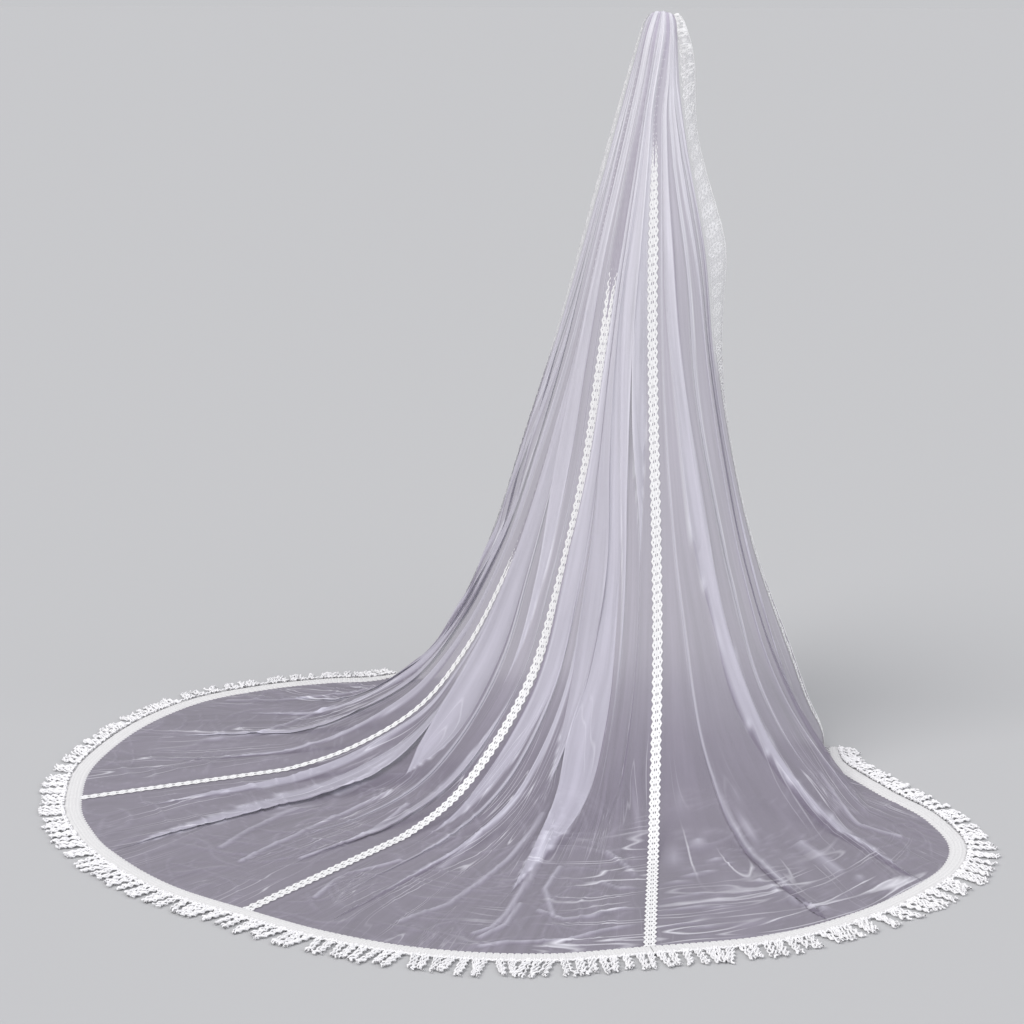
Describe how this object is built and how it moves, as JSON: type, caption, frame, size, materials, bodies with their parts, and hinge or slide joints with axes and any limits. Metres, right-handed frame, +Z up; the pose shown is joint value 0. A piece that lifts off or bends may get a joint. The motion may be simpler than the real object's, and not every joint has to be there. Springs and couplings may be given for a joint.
{
  "type": "bridal veil",
  "caption": "Cathedral bridal veil of sheer tulle that falls from a comb to the floor, with lace seams, a braided hem and a fringed round train.",
  "frame": {"origin": "middle of the top of the comb's bar, where the veil is held on the head", "axes": "+Z up, +Y backwards along the train, +X to the wearer's left"},
  "size_m": [2.2726, 1.7305, 1.7456],
  "materials": {
    "tulle": "sheer, soft sheen",
    "galloon": "matt lace",
    "edging_lace": "matt open lace",
    "hem_braid": "matt woven braid",
    "fringe": "soft looped yarn",
    "comb_metal": "polished",
    "ribbon": "satin ribbon"
  },
  "bodies": {
    "root": {"gore_right_side": "tulle", "gore_right_back": "tulle", "gore_left_back": "tulle", "gore_left_side": "tulle", "band_right": "galloon", "band_centre": "galloon", "band_left": "galloon", "edging_right": "edging_lace", "edging_left": "edging_lace", "hem_braid_right_side": "hem_braid", "hem_braid_right_back": "hem_braid", "hem_braid_left_back": "hem_braid", "hem_braid_left_side": "hem_braid", "fringe_right_side": "fringe", "fringe_right_back": "fringe", "fringe_left_back": "fringe", "fringe_left_side": "fringe", "comb": "comb_metal", "gather_binding": "ribbon"}
  },
  "joints": []
}
